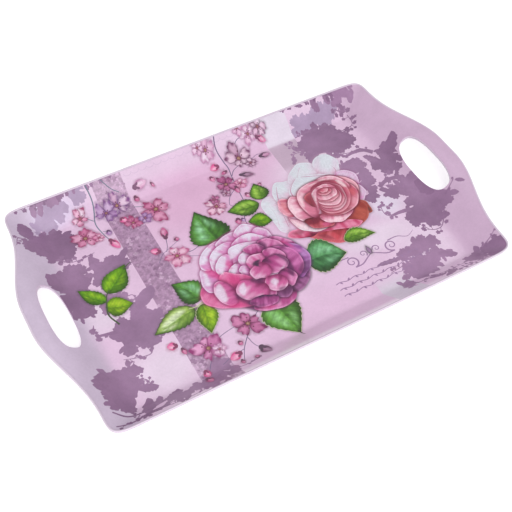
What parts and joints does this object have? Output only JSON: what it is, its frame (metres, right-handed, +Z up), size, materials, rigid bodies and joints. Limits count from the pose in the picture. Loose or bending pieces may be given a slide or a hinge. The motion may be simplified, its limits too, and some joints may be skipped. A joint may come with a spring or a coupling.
{
  "type": "serving tray",
  "caption": "Oblong serving tray with sloping sides, bowed end grips with finger slots, and a floral printed surface under a clear glaze.",
  "frame": {"origin": "middle of the foot ring's base, on the surface that the tray stands on", "axes": "+X along the tray towards one grip, +Y across it, +Z up out of the dish"},
  "size_m": [0.4874, 0.29, 0.0349],
  "materials": {
    "tray_body": "glossy lilac melamine",
    "printed_foil": "printed decal foil, pink and mauve flowers",
    "clear_glaze": "clear glossy glaze resin"
  },
  "bodies": {
    "root": {"tray_body": "tray_body", "printed_foil": "printed_foil", "clear_glaze": "clear_glaze"}
  },
  "joints": []
}
